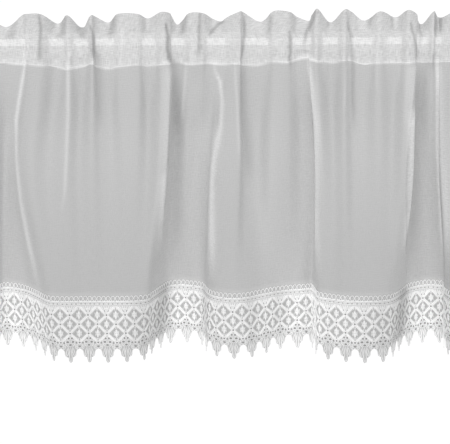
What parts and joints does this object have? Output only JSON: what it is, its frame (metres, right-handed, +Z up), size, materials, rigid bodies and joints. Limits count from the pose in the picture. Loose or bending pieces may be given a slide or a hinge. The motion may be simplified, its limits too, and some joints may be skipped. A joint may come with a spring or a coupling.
{
  "type": "cafe curtain on a rod",
  "caption": "Short sheer cafe curtain, gathered by a frilled rod pocket on a flat rod, with a deep lace border that ends in points.",
  "frame": {"origin": "middle of the rod's axis, half way along it", "axes": "+X along the rod to the right as seen from the front, +Y towards the window, +Z up"},
  "size_m": [0.69, 0.0867, 0.4518],
  "materials": {
    "voile": "sheer plain-weave voile, slightly slubbed",
    "lace": "matt white machine lace with raised threads",
    "rod_lacquer": "white lacquer, satin"
  },
  "bodies": {
    "root": {"voile_panel": "voile", "lace_border": "lace", "curtain_rod": "rod_lacquer"}
  },
  "joints": []
}
